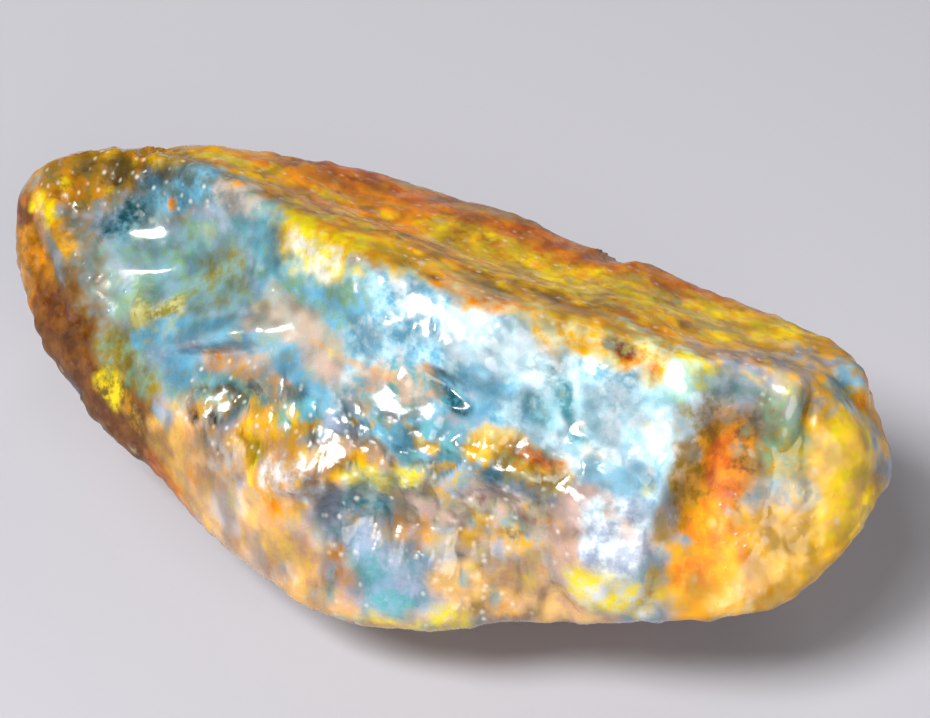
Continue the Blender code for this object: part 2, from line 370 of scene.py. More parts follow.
def patch(points, along, turn):
    """1 inside a patch of the skin, from one mm to another along and one degree to another round it."""
    half = (turn[1] - turn[0]) / 2
    aside = np.abs((round_the_lump(points) - turn[0] - half + 180) % 360 - 180)
    inside = step_between(along[0] - FADE_OUT, along[0] + FADE_IN, points[..., 0])
    inside = inside * step_between(along[1] + FADE_OUT, along[1] - FADE_IN, points[..., 0])
    return inside * step_between(half + FADE_OUT_ROUND, half - FADE_IN_ROUND, aside)


def rubble(points):
    """How broken the skin is: most on the ledge, the crown and along the ridge, least in the pools."""
    broken = LEAST_RUBBLE
    for share, along, turn in RUBBLE.values():
        broken = broken + share * patch(points, along, turn)
    return np.clip(broken, 0, 1)


def bubbly(points):
    """Where the skin is covered in rounded blisters: below the ridge, right of the middle."""
    return patch(points, *BLISTERED)


def smooth(points):
    """1 in the bowls and bosses whose skin is glassy and unbroken."""
    rises = [spread(points, *PUSHES[name][:4]) for name in SMOOTH_FORMS]
    return step_between(*SMOOTH_EDGE, np.max(rises, axis=0))


def gloss(points):
    """How wet the skin looks: full on the front, least on the back slope, in the valley and at the ends."""
    dull = np.maximum(
        DULL_SLOPE * back_slope(points),
        step_between(*VALLEY_EDGE, spread(points, *PUSHES["valley"][:4])))
    share, near, far = DULL_TIPS
    dull = np.maximum(dull, share * step_between(near, far, np.abs(points[..., 0])))
    for share, along, turn in DULL.values():
        dull = np.maximum(dull, share * patch(points, along, turn))
    return 1 - dull


def beaded(points):
    """How thickly the skin is set with glassy beads: most below the ridge, fewer wherever it is broken."""
    most = np.maximum(bubbly(points), BEADS_ON_RUBBLE * rubble(points))
    return most * (1 - BEADS_LOST_ON_GLASS * smooth(points))


def blisters(points, share, size, seed):
    """Domes of their own heights on most of the cells: height * (1 - (distance / reach)^2)^1.5."""
    far, over = BLISTER_STRAY
    first, _, tag = cells(points + far * grain(points, over, seed)[..., None], size, seed)
    height = size * (BLISTER_LOWEST + BLISTER_SPREAD * tag[..., 0]) * (tag[..., 1] < BLISTER_CHANCE)
    return share * (height * np.clip(1 - (first / BLISTER_REACH) ** 2, 0, 1) ** 1.5)


def chips(points, share, size, seed, crack):
    """Small breaks: each cell leans its own way, by the sum over the three axes of (its random number
    - 1/2) * sin(waves * place / size + shift * number), and a crack parts it from the next."""
    far, over, stray_seed = CHIP_STRAY
    first, second, tag = cells(points + far * grain(points, over, stray_seed)[..., None], size, seed)
    lean = ((tag - 0.5) * np.sin(points * CHIP_WAVES / size + CHIP_SHIFT * tag)).sum(axis=-1)
    return share * (size * (CHIP_HEIGHT * lean - crack * step_between(CRACK_WIDTH, 0.0, second - first)))


def back_slope(points):
    """1 on the long amber slope behind the ridge, 0 elsewhere."""
    return step_between(*SLOPE_EDGE, (points - HEART) @ unit(FACES["amber slope"][0]))


def relief(points):
    """Fine form of the skin, as heights in mm: blisters, chips and roughness, calmer on the back slope."""
    domes = bubbly(points)
    glassy = smooth(points)
    lively = 1 - CALMER_ON_SLOPE * back_slope(points)
    broken = rubble(points) * (1 - CALMER_ON_BLISTERS * domes) * (1 - CALMER_ON_GLASS * glassy) * lively
    return (
        domes * (blisters(points, *BIG_BLISTERS) + blisters(points, *SMALL_BLISTERS))
        + broken * (chips(points, *BIG_CHIPS) + chips(points, *SMALL_CHIPS) + blisters(points, *CRUMBS))
        + (1 - domes) * (1 - glassy) * lively * chips(points, *FLAT_BREAKS)
        + (1 - domes) * (1 - FEWER_DOMES_ON_GLASS * glassy) * blisters(points, *LOW_DOMES)
        + (ROUGH_EVERYWHERE + ROUGH_ON_RUBBLE * broken) * rough(points, *ROUGHNESS)
    )


def lump_points():
    """Where the rays leave the lump, row by row, and the height of the fine relief there."""
    origins, ways = fan_of_rays()
    length = broken_block(origins, ways)
    for scoop in SCOOPS.values():
        length = softer_minimum(length, ball_ahead(origins, ways, *scoop), SCOOP_BLEND)
    points = origins + length[..., None] * ways
    length = length + swell(points) + pushes(points)
    points = origins + length[..., None] * ways
    fine = relief(points)
    points = points + fine[..., None] * ways
    points[..., 2] = np.maximum(points[..., 2], 0.0)
    return points, fine


def listed(grid):
    """The grid's values point by point, with its first and its last row each drawn into one."""
    between = grid[1:-1].reshape(-1, *grid.shape[2:])
    return np.concatenate([grid[:1].mean(axis=1), between, grid[-1:].mean(axis=1)])


def closed_skin(name, grid):
    """A mesh of quads from rows of points that close round, its first and last row drawn to a point."""
    rows, columns = grid.shape[:2]
    points = listed(grid)
    ring = np.arange(columns)
    after = (ring + 1) % columns
    row = 1 + columns * np.arange(rows - 3)[:, None]
    quads = np.stack([row + ring, row + after, row + columns + after, row + columns + ring], axis=-1)
    last = 1 + columns * (rows - 3)
    tip = np.stack([np.zeros_like(ring), 1 + after, 1 + ring], axis=-1)
    tail = np.stack([last + ring, last + after, np.full_like(ring, len(points) - 1)], axis=-1)
    mesh = bpy.data.meshes.new(name)
    faces = tip.tolist() + quads.reshape(-1, 4).tolist() + tail.tolist()
    mesh.from_pydata((points * MM).tolist(), [], faces)
    mesh.shade_smooth()
    return mesh, points


# Colours of the amber as they look, red, green and blue from 0 to 1.
HUES = {
    "honey": (0.84, 0.58, 0.10),
    "amber": (0.50, 0.34, 0.02),
    "dark honey": (0.60, 0.43, 0.02),
    "umber": (0.36, 0.22, 0.04),
    "bronze": (0.50, 0.42, 0.20),
    "smoke": (0.45, 0.48, 0.48),
    "gold": (0.95, 0.73, 0.18),
    "lemon": (0.98, 0.90, 0.38),
    "frost": (1.00, 0.99, 0.94),
    "orange": (0.98, 0.64, 0.10),
    "deep orange": (0.86, 0.48, 0.05),
    "apricot": (0.96, 0.79, 0.50),
    "salmon": (0.88, 0.69, 0.52),
    "rose": (0.82, 0.69, 0.64),
    "lilac": (0.64, 0.68, 0.76),
    "slate": (0.50, 0.62, 0.67),
    "azure": (0.50, 0.71, 0.82),
    "sky": (0.80, 0.93, 0.98),
    "milk": (0.93, 0.97, 1.00),
    "cyan": (0.44, 0.67, 0.69),
    "teal": (0.24, 0.49, 0.54),
    "deep teal": (0.05, 0.26, 0.30),
    "mint": (0.78, 0.94, 0.80),
    "sage": (0.50, 0.63, 0.52),
    "olive": (0.52, 0.46, 0.08),
    "fog": (0.72, 0.67, 0.54),
    "rust": (0.42, 0.13, 0.03),
    "soot": (0.05, 0.06, 0.04),
}

# Broad fields of colour, laid on in this order. Each has two hues that mingle, its reach in mm, its
# strength, and the places it runs through: mm along the lump, and degrees round it from the back, over
# the top (90) and down the front (180).
FIELDS = {
    "slope shade": ("dark honey", "honey", 3.0, 0.95, [(-9, 22), (-4, 24), (3, 26), (9, 26)]),
    "slope rust": ("deep orange", "honey", 2.2, 0.6, [(-6, 38), (2, 38), (9, 40)]),
    "slope olive": ("olive", "gold", 1.1, 0.7, [(-8, 78), (0, 86), (8, 88)]),
    "slope glow": ("gold", "orange", 1.6, 0.8, [(-7, 62), (-3, 70), (1, 76)]),
    "slope gold": ("gold", "lemon", 1.8, 0.7, [(1, 60), (6, 66), (12, 72)]),
    "slope fibres": ("gold", "lemon", 1.8, 0.8, [(9, 55), (12, 45), (15, 38)]),
    "crown": ("bronze", "dark honey", 2.0, 0.9, [(-19, 72), (-15.5, 72), (-12.5, 80)]),
    "nose rim": ("dark honey", "honey", 1.7, 0.95, [(-20, 100), (-19.5, 150), (-18, 180), (-17.5, 200)]),
    "cheek": ("smoke", "bronze", 1.6, 0.9, [(-16.5, 125), (-15.5, 148), (-13.5, 162)]),
    "long strip": ("amber", "umber", 2.1, 1.0, [(-17, 182), (-14, 188), (-11, 194), (-9.4, 199)]),
    "strip sage": ("olive", "sage", 0.9, 0.7, [(-13.5, 175), (-11, 176)]),
    "pool floor": ("sage", "slate", 2.4, 0.9, [(-13, 118), (-9, 120)]),
    "pool bright side": ("azure", "cyan", 1.3, 0.95, [(-7.8, 98), (-6.6, 106)]),
    "window": ("sage", "azure", 2.4, 0.9, [(-5, 118), (-1, 128)]),
    "window rose": ("rose", "fog", 1.1, 0.7, [(-5.5, 132), (-2, 142)]),
    "blue field": ("sky", "azure", 3.0, 0.95, [(2, 128), (6, 134), (12.4, 134)]),
    # milky blue along the crest, partly a painted glare of light
    "milky crest and glare": ("sky", "azure", 1.1, 0.8, [(0.4, 112), (3, 117), (6, 120), (8.6, 120)]),
    "milky bank": ("milk", "sky", 1.7, 0.75, [(9, 138), (11.5, 136), (12.5, 130)]),
    "sky bank": ("sky", "milk", 1.3, 0.8, [(4.5, 124), (7, 126)]),
    "blue below": ("azure", "cyan", 1.7, 0.9, [(2, 152), (4.5, 160), (6, 166)]),
    "hot spot skirt": ("gold", "lemon", 1.3, 0.95, [(-5, 103), (-3, 106)]),
    "mint patch": ("mint", "sky", 1.4, 0.95, [(12.2, 116), (13.2, 119)]),
    "sage bank": ("sage", "cyan", 1.0, 0.85, [(-8.5, 170), (-5, 162), (-2.6, 160)]),
    "salmon field": ("apricot", "salmon", 2.9, 0.95, [(-7.2, 189), (-5, 190), (-1.5, 194)]),
    "ledge rubble": ("gold", "salmon", 1.0, 0.85, [(-5, 170), (-2, 168), (1.5, 166)]),
    "slate middle": ("slate", "lilac", 1.9, 0.9, [(1.4, 184), (4.4, 186)]),
    "rose middle": ("rose", "fog", 1.6, 0.85, [(3, 172), (6, 172), (8.4, 174)]),
    "bottom salmon": ("salmon", "apricot", 1.5, 0.85, [(6.5, 188), (8.5, 190), (11, 194)]),
    "shell": ("milk", "lilac", 1.9, 0.9, [(11, 160), (12, 172)]),
    "right field": ("apricot", "gold", 3.0, 0.95, [(17, 182), (19, 165), (20, 145)]),
    "valley": ("deep orange", "orange", 1.4, 0.95, [(15, 132), (15.3, 148), (14.8, 164)]),
    "valley glow": ("orange", "gold", 1.1, 0.95, [(15, 168), (16.2, 172), (15, 178)]),
    "upper grey": ("apricot", "lilac", 1.7, 0.95, [(15.2, 102), (16.2, 92), (17, 74)]),
    "boss": ("apricot", "lemon", 1.4, 0.95, [(19.6, 100), (20.4, 112), (20.4, 122)]),
    "gold belly": ("apricot", "lemon", 1.5, 0.95, [(18.8, 130), (20, 140), (20.4, 156)]),
    "haze": ("smoke", "apricot", 1.0, 0.7, [(17.4, 160), (18, 168)]),
}

# Finer marks, written as the fields are and laid over the clouds.
MARKS = {
    "slope corner": ("lemon", "gold", 0.9, 0.95, [(-12, 60), (-11, 60)]),
    "crown gold": ("gold", "lemon", 0.6, 0.8, [(-17.5, 62), (-14.5, 66), (-12, 76)]),
    "crown corner": ("umber", "rust", 0.7, 0.9, [(-21, 72), (-20.5, 82)]),
    "nose lemon": ("lemon", "gold", 0.6, 0.95, [(-19.8, 82), (-19, 98)]),
    "nose drop": ("gold", "honey", 0.5, 0.9, [(-18, 110), (-17.2, 122)]),
    "strip lemon": ("lemon", "olive", 0.6, 0.75, [(-13.3, 186), (-12.6, 189)]),
    "strip glow": ("gold", "olive", 0.5, 0.7, [(-11.9, 187), (-11.2, 189)]),
    "pool brow": ("slate", "teal", 0.9, 0.85, [(-13, 86), (-10.5, 88)]),
    "pool deep side": ("deep teal", "teal", 0.8, 0.95, [(-15.2, 104), (-14, 92)]),
    "pool back": ("azure", "teal", 1.1, 0.8, [(-13.4, 84), (-11, 84), (-9, 88)]),
    "pool olive": ("olive", "sage", 0.9, 0.75, [(-9.8, 122), (-8.2, 118)]),
    "pool shoulder": ("salmon", "fog", 0.8, 0.5, [(-9.5, 90), (-7, 90)]),
    "green corner": ("olive", "lemon", 0.9, 0.85, [(-12, 152), (-11, 148)]),
    "ridge gold": ("gold", "lemon", 1.1, 0.95, [(-2, 100), (1, 104), (4, 109), (8, 111), (11.4, 110)]),
    "ridge grey": ("fog", "rose", 0.7, 0.8, [(2.4, 100), (4.4, 104)]),
    "ridge orange": ("orange", "salmon", 0.8, 0.85, [(2.4, 108), (4.6, 112)]),
    "ridge ember": ("orange", "lemon", 0.6, 0.9, [(10.8, 114), (11.4, 117)]),
    "ridge peach": ("salmon", "rose", 0.7, 0.7, [(12.6, 94), (15, 98)]),
    "rust spot": ("rust", "umber", 0.35, 0.95, [(9.6, 112), (10.3, 113)]),
    # painted highlight: a white and lemon glare at the ridge's left end
    "hot spot": ("frost", "lemon", 0.9, 1.0, [(-4.6, 108), (-3.6, 111)]),
    "mint lemon": ("lemon", "mint", 0.5, 0.85, [(12.8, 109), (13.6, 112)]),
    "notch": ("fog", "lilac", 0.6, 0.85, [(13.4, 128), (14, 126)]),
    "teal streak": ("teal", "cyan", 0.45, 0.9, [(7.8, 128), (8.6, 136), (9.4, 146)]),
    "teal spot": ("teal", "cyan", 0.6, 0.85, [(7.2, 137), (7.8, 140)]),
    "green groove": ("deep teal", "teal", 0.4, 0.95, [(3, 136), (3.6, 141), (4.4, 144)]),
    "groove bank": ("salmon", "sage", 0.9, 0.7, [(0.5, 146), (2.4, 142)]),
    "rolled rim": (
        "azure", "cyan", 0.65, 0.95, [(-12, 162), (-10.5, 152), (-7.5, 144), (-4, 146), (-2, 154)]),
    "second pool": ("azure", "slate", 0.9, 0.95, [(-10, 163), (-8.8, 165)]),
    "under the rim": ("salmon", "fog", 0.6, 0.8, [(-7.8, 158), (-5.6, 153), (-3.8, 157)]),
    "raised line": ("salmon", "fog", 0.16, 0.7, [(-3.2, 138), (-1, 140), (1.4, 141)]),
    "gold thread": ("lemon", "gold", 0.3, 0.9, [(-5.2, 163), (-4.4, 170), (-4.2, 177)]),
    "dark star": ("soot", "umber", 0.26, 0.95, [(-8.3, 173), (-7.9, 175)]),
    "dark pit": ("soot", "deep teal", 0.26, 0.95, [(-7, 172), (-6.9, 173)]),
    "dark seam": ("umber", "deep teal", 0.3, 0.8, [(-8, 168), (-6.5, 164)]),
    "dark chip": ("deep teal", "slate", 0.24, 0.85, [(-5.5, 160), (-5.1, 161)]),
    "lilac pad": ("lilac", "fog", 0.8, 0.7, [(-6.7, 178), (-5.6, 181)]),
    "lilac below": ("lilac", "azure", 0.7, 0.7, [(-5.6, 188), (-5, 191)]),
    "orange glow": ("orange", "gold", 0.6, 0.9, [(-3.6, 177), (-2.4, 178)]),
    # pale pink crescent, partly a painted highlight
    "crescent and highlight": ("milk", "salmon", 0.8, 0.8, [(-3.2, 173), (-1.4, 172)]),
    "lemon glow": ("lemon", "frost", 0.55, 0.95, [(-4.8, 184), (-4.4, 185)]),
    "left edge": ("orange", "deep orange", 0.7, 0.85, [(-10, 200), (-6, 204), (-2, 204)]),
    "ledge lemon": ("lemon", "mint", 0.5, 0.9, [(0.6, 168), (3, 166)]),
    "teal patch": ("teal", "cyan", 0.7, 0.95, [(0.7, 176), (1.8, 176)]),
    "teal diagonal": ("cyan", "azure", 0.6, 0.85, [(1.4, 186), (2.6, 190), (3.6, 194)]),
    "bottom gold": ("lemon", "apricot", 0.9, 0.95, [(3.2, 199), (4.6, 199), (6, 197)]),
    "ledge gold": ("gold", "lemon", 0.75, 0.95, [(5.4, 151), (6.8, 153), (9, 157)]),
    "ledge rust": ("deep orange", "rust", 0.35, 0.9, [(7, 152), (9, 154)]),
    # painted highlight: a white glare on the ledge
    "ledge painted highlight": ("frost", "sky", 0.6, 0.95, [(9.8, 150), (10.8, 152)]),
    "shell top": ("azure", "cyan", 0.7, 0.85, [(10.4, 154), (12.2, 154)]),
    "shell rim": ("rose", "salmon", 0.65, 0.9, [(9.9, 160), (9.8, 172), (10.6, 181)]),
    "shell foot": ("lemon", "frost", 0.8, 0.95, [(11.2, 180), (12.4, 183), (13.6, 186)]),
    "valley head": ("teal", "smoke", 0.8, 0.85, [(14.6, 113), (15.8, 117)]),
    # painted shade in the valley: on its upper side, its left wall and its bank
    "valley shade": ("umber", "bronze", 0.9, 0.85, [(16.2, 120), (16.3, 136)]),
    "valley bank shade": ("bronze", "umber", 0.7, 0.8, [(14, 148), (13.7, 166)]),
    "valley wall shade": ("bronze", "fog", 0.9, 0.8, [(14.3, 126), (14.1, 140), (13.9, 152)]),
    "gold streaks": ("gold", "lemon", 0.45, 0.95, [(13.8, 178), (13.8, 186)]),
    "rib": ("sage", "olive", 1.1, 0.9, [(17, 112), (17.3, 124), (17.5, 134)]),
    "rib gold": ("gold", "olive", 0.6, 0.9, [(18, 84), (18.2, 108)]),
    "blue knob": ("azure", "teal", 0.8, 0.95, [(19, 66), (19, 84)]),
    "slate chip": ("slate", "lilac", 0.7, 0.85, [(17.2, 150), (18.6, 152)]),
}

# How much of a mark the second of the two colours takes: all of a field, and half of the rest.
FIELD_COVER = 1.0
MARK_COVER = 0.5

# Torn clouds over the fields: hue, strength, size in mm, seed, share that they cover, and the patch of
# skin that they lie in, in mm along the lump and in degrees round it.
CLOUDS = {
    "blue over the sky": ("azure", 0.65, 1.5, 301, 0.24, (0, 13), (120, 156)),
    "teal in the blue": ("teal", 0.55, 0.9, 302, 0.18, (0, 12), (124, 168)),
    # milky white clouds, partly a painted glare over the blue
    "white and glare in the blue": ("milk", 0.70, 0.8, 303, 0.24, (-1, 13), (112, 146)),
    "rose in the blue": ("rose", 0.55, 1.1, 304, 0.20, (-3, 8), (128, 158)),
    "grey over the head": ("smoke", 0.60, 1.2, 305, 0.34, (-18, -6), (84, 150)),
    "blue over the head": ("slate", 0.70, 1.5, 306, 0.35, (-15, -6), (92, 140)),
    "brown on the crown": ("umber", 0.50, 0.8, 307, 0.30, (-21, -9), (60, 96)),
    "gold on the crown": ("honey", 0.70, 0.9, 323, 0.34, (-21, -9), (60, 92)),
    "brown on the nose": ("amber", 0.50, 0.9, 324, 0.26, (-21, -15), (90, 215)),
    "green in the pool": ("olive", 0.45, 1.4, 308, 0.28, (-13, -6), (108, 150)),
    "cyan in the pool": ("cyan", 0.40, 1.2, 309, 0.30, (-14, -6), (100, 145)),
    "orange below": ("orange", 0.60, 1.5, 310, 0.28, (-10, 9), (172, 206)),
    "white below": ("frost", 0.45, 1.1, 311, 0.26, (-9, 0), (172, 204)),
    "lilac below": ("lilac", 0.60, 1.2, 312, 0.26, (-4, 9), (166, 200)),
    "teal below": ("cyan", 0.65, 1.0, 313, 0.24, (0, 8), (166, 200)),
    "gold on the ledge": ("gold", 0.85, 0.7, 314, 0.32, (-8, 9), (152, 180)),
    "umber on the ledge": ("umber", 0.60, 0.8, 315, 0.24, (-9, 9), (150, 178)),
    "rose on the shell": ("salmon", 0.60, 1.1, 316, 0.30, (9, 13), (158, 182)),
    "orange at the end": ("orange", 0.65, 2.6, 317, 0.32, (15, 21), (120, 200)),
    "peach at the end": ("apricot", 0.80, 1.8, 318, 0.46, (16, 21), (96, 196)),
    "grey at the end": ("smoke", 0.40, 1.6, 319, 0.12, (16, 21), (150, 186)),
    "lemon on the slope": ("lemon", 0.65, 0.9, 320, 0.32, (-10, 14), (46, 98)),
    "brown on the slope": ("umber", 0.45, 0.8, 325, 0.26, (-10, 17), (14, 90)),
    "amber at the back": ("deep orange", 0.60, 2.4, 321, 0.42, (-20, 20), (205, 390)),
    "blue at the back": ("slate", 0.55, 3.0, 322, 0.30, (-18, 18), (210, 390)),
}

# Flecks strewn over the skin: hue, one in each cube of that many mm, seed, chance, and reach as a share.
FLECKS = (
    ("lemon", 1.5, 201, 0.22, 0.30),
    ("orange", 1.7, 202, 0.16, 0.26),
    ("cyan", 1.6, 203, 0.20, 0.34),
    # frost flecks: pale specks, partly painted glints
    ("frost", 1.1, 204, 0.22, 0.26),
    ("umber", 1.9, 205, 0.16, 0.24),
    ("soot", 2.6, 206, 0.14, 0.16),
)

FLECKS_EVERYWHERE, FLECKS_ON_RUBBLE = 0.25, 0.75
FLECK_STRAY = (0.15, 0.6)                   # how far a fleck's outline strays: mm, over mm
FLECK_HEART = 0.4                           # share of its reach over which a fleck is full

# How a mark's outline wanders (mm, over mm, seed) and is torn (share, size in mm, seed, octaves), how
# far past its reach it can be seen, and where it fades: 1 on its line, 0 at that reach.
WANDER = ((0.28, 2.4, 21), (0.32, 0.9, 25), (0.12, 0.4, 29))
TORN = (0.34, 0.8, 93, 4)
FULL_WANDER = 1.0                           # reach in mm from which a mark wanders that far
OVERREACH = 1.25
MARK_EDGE = (-0.2, 0.5)
MARK_END = -0.8                             # below this, nothing of a mark is left

# A cloud's cut through the noise: the level for no cover, its fall with cover, the fade, and octaves.
CLOUD_LEVEL, CLOUD_FALL = 0.9, 1.8
CLOUD_FADE = (-0.12, 0.28)
CLOUD_OCTAVES = 4

# The ground under the marks. Noise is size in mm, seed, octaves; hues have their strength and the
# values between which they come in: of the noise, or mm towards the back.
STREAK_STRETCH = np.array([0.2, 1.0, 1.0])  # streaks run along the lump
STREAKS = (0.8, 71, 4)
STREAK_HUES = (("deep orange", 0.6, 0.1, 0.9), ("gold", 0.95, 0.4, -0.4))
BACK_SHADE = ("umber", 0.5, 6.0, 10.5)
SECOND_GOLD = 0.5
BACK_CLOUDS = (4.5, 51, 3)
BACK_CLOUD_EDGE = (0.1, 0.7)
BACK_TURN = (200, 225)                      # degrees round the lump, where the unseen side begins
FRONT_RISE = (4.0, 6.0)                     # mm above the foot, where the front's grey begins
RIDGE_STRAY = (0.5, 1.6, 11)                # how far the two sides' border strays: mm, over mm, seed
RIDGE_EDGE = (-0.4, 0.6)

# Painted shade: darker by that share in cracks and hollows of that depth in mm; and soft blotches of tone,
# from low to high.
CRACK_SHADE = 0.55
CRACK_DEPTH = (0.01, -0.12)
BLOTCHES = (1.0, 97, 3)
BLOTCH_EDGE = (-0.8, 0.8)
BLOTCH_LOW, BLOTCH_RISE = 0.58, 0.56
RICHNESS = 1.2                              # how much further the weaker parts of a colour sink

# Glassy beads in the finish: cells per metre, reach as a share of a cell, the share of cells that hold
# one, and how far the normal leans for each metre from a bead's middle.
SPECKS = (1900.0, 0.34, 0.55, 3200.0)
DROPS = (820.0, 0.46, 0.75, 1100.0)
# pale paint on the specks: partly pale specks, partly painted glints
SPECK_PAINT_AND_GLINT = 0.6
SPECK_SMOOTHNESS = 0.3                      # what is left of the roughness at a speck's middle

# The rest of the finish. Noise is scale per metre, detail and roughness.
AMBER_IOR = 1.54
SEE_THROUGH = 0.25
SHINE = 0.3
COAT_ROUGHNESS = 0.16
BODY_COLOUR = (0.90, 0.52, 0.12, 1.0)
BODY_DENSITY = 350.0
MINGLING = (1200.0, 3.0, 0.72)
MINGLING_EDGE = (0.36, 0.64)
GRIT = (2200.0, 1.0, 0.6)
GRIT_EDGE = (0.35, 0.70)
GRIT_ROUGHNESS = (0.10, 0.36)
DRY_ROUGHNESS = 0.35                        # added to the roughness where the skin is dull
GRIT_HEIGHTS = (0.20, 1.1)                  # on whole skin and on rubble
BUMP_STRENGTH = 0.6
BUMP_DEPTH = 0.1 * MM

# Studio: half the floor's side in metres, and its gap below the foot.
FLOOR_HALF = 0.6
FLOOR_GAP = 0.02 * MM
FLOOR_COLOUR = (0.66, 0.66, 0.69)
FLOOR_ROUGHNESS = 0.8
AIR_COLOUR = (0.88, 0.88, 0.90, 1.0)
AIR_STRENGTH = 0.10

# Lamps: the way to each, its distance and width in metres, its power in watts, and its colour.
LAMPS = {
    "key": ((-0.34, -0.46, 0.81), 0.35, 0.13, 1.7, (1.0, 0.99, 0.965)),
    "top": ((-0.08, -0.45, 0.89), 0.35, 0.06, 0.24, (1.0, 0.985, 0.95)),
    "fill": ((0.60, -0.60, 0.50), 0.45, 0.34, 1.05, (1.0, 0.98, 0.95)),
    "back": ((0.10, 0.80, 0.60), 0.45, 0.20, 0.26, (1.0, 0.95, 0.86)),
}


def linear(colour):
    """A colour as it looks, turned into light."""
    colour = np.asarray(colour, float)
    return np.where(colour <= 0.04045, colour / 12.92, ((colour + 0.055) / 1.055) ** 2.4)


def lay_on(colour, hue, mask):
    """The colour, moved towards a hue by a mask from 0 to 1."""
    return colour + (linear(HUES[hue]) - colour) * mask[..., None]


def richer(colour):
    """Each colour drawn away from grey: its darker parts sink further below its brightest one."""
    top = colour.max(axis=-1, keepdims=True)
    return np.clip(top - RICHNESS * (top - colour), 0, 1)


def drift(points, size, seed):
    """Three grains at once, as a sideways push that makes the zones' edges wander."""
    return np.stack([grain(points, size, seed + n) for n in range(3)], axis=-1)


def front_side(points):
    """1 on the front faces and 0 on the back slope, changing over along the ridge."""
    def stands_out(*names):
        faces = [FACES[name] for name in names]
        return np.max([(points - HEART) @ unit(facing) - reach for facing, reach in faces], axis=0)

    front = stands_out("front left", "front right", "front end")
    back = stands_out("amber slope", "head top")
    far, over, seed = RIDGE_STRAY
    return step_between(*RIDGE_EDGE, front - back + far * grain(points, over, seed))


def skin_at(points, turned, along, turn):
    """The skin's point that lies nearest to a place given in mm along the lump and degrees round it."""
    aside = np.radians((turned - turn + 180) % 360 - 180) * GIRTH_RADIUS
    return points[np.argmin((points[..., 0] - along) ** 2 + aside**2)]


def trail(points, places, reach):
    """1 on the straight runs from place to place, falling evenly to 0 at the reach."""
    best = np.full(len(points), -FARTHEST)
    for start, end in zip(places[:-1], places[1:]):
        line = end - start
        share = np.clip((points - start) @ line / max(line @ line, LEAST_RUN), 0, 1)
        gap = points - start - share[:, None] * line
        best = np.maximum(best, 1 - np.linalg.norm(gap, axis=-1) / reach)
    return best


def cloud(points, size, seed, cover, along, turn):
    """Torn clouds inside a patch of the skin: layered grain, cut so that they cover about that share."""
    level = CLOUD_LEVEL - CLOUD_FALL * cover
    low, high = CLOUD_FADE
    layers = rough(points, size, seed, CLOUD_OCTAVES)
    return patch(points, along, turn) * step_between(level + low, level + high, layers)


def flecks(points, size, seed, chance, reach):
    """Small round flecks: one in each cube of that size, by chance, 1 at the middle and 0 at the reach."""
    far, over = FLECK_STRAY
    first, _, tag = cells(points + far * drift(points, over, seed), size, seed)
    return step_between(reach, FLECK_HEART * reach, first) * (tag[..., 0] < chance)


def ground(points, turned):
    """Honey streaked with gold and orange along the lump, browner at the back, slate over the front."""
    streaks = rough(points * STREAK_STRETCH, *STREAKS)
    first = np.zeros(points.shape) + linear(HUES["honey"])
    for hue, strength, low, high in STREAK_HUES:
        first = lay_on(first, hue, strength * step_between(low, high, streaks))
    hue, strength, near, far = BACK_SHADE
    first = lay_on(first, hue, strength * step_between(near, far, points[..., 1]))
    second = lay_on(first, "gold", np.full(len(points), SECOND_GOLD))
    clouds = step_between(*BACK_CLOUD_EDGE, rough(points, *BACK_CLOUDS)) * step_between(*BACK_TURN, turned)
    front = front_side(points) * step_between(*FRONT_RISE, points[..., 2])
    for hue, mask in (("salmon", clouds), ("slate", front)):
        first = lay_on(first, hue, mask)
        second = lay_on(second, "lilac", mask)
    return first, second


def laid_marks(points, turned, first, second, table, cover):
    """The two colours with each row of a table laid on: its trail, made to wander and torn at the edge.
    The second colour takes that share of it, and what lies under it shows through the rest."""
    wander = sum(far * drift(points, over, seed) for far, over, seed in WANDER)
    torn = TORN[0] * rough(points, *TORN[1:])
    for hue, other, reach, strength, places in table.values():
        spots = [skin_at(points, turned, *place) for place in places]
        near = trail(points + min(reach, FULL_WANDER) * wander, spots, OVERREACH * reach)
        mask = strength * step_between(*MARK_EDGE, near + torn) * (near > MARK_END)
        first = lay_on(first, hue, mask)
        second = lay_on(second, other, cover * mask)
    return first, second


def painted(points, fine):
    """Two colours for each point of the skin, which the finish mingles: the ground, the fields, the
    clouds, the marks and the flecks, all of it darkened by painted shade in the cracks and by soft
    blotches, and richer."""
    turned = round_the_lump(points)
    first, second = ground(points, turned)
    first, second = laid_marks(points, turned, first, second, FIELDS, FIELD_COVER)
    for hue, strength, size, seed, cover, along, turn in CLOUDS.values():
        mask = strength * cloud(points, size, seed, cover, along, turn)
        first = lay_on(first, hue, mask)
        second = lay_on(second, hue, MARK_COVER * mask)
    first, second = laid_marks(points, turned, first, second, MARKS, MARK_COVER)
    strewn = FLECKS_EVERYWHERE + FLECKS_ON_RUBBLE * rubble(points)
    for hue, size, seed, chance, reach in FLECKS:
        first = lay_on(first, hue, flecks(points, size, seed, chance, reach) * strewn)
    # painted shade in the cracks and hollows of the fine relief, then soft blotches of tone
    light = 1 - CRACK_SHADE * step_between(*CRACK_DEPTH, fine)
    light *= BLOTCH_LOW + BLOTCH_RISE * step_between(*BLOTCH_EDGE, rough(points, *BLOTCHES))
    return richer(first * light[:, None]), richer(second * light[:, None])


def colour_layer(mesh, name, colour):
    """A colour for each point of the mesh, which its material reads by that name."""
    layer = mesh.attributes.new(name, "FLOAT_COLOR", "POINT")
    layer.data.foreach_set("color", np.column_stack([colour, np.ones(len(colour))]).ravel())


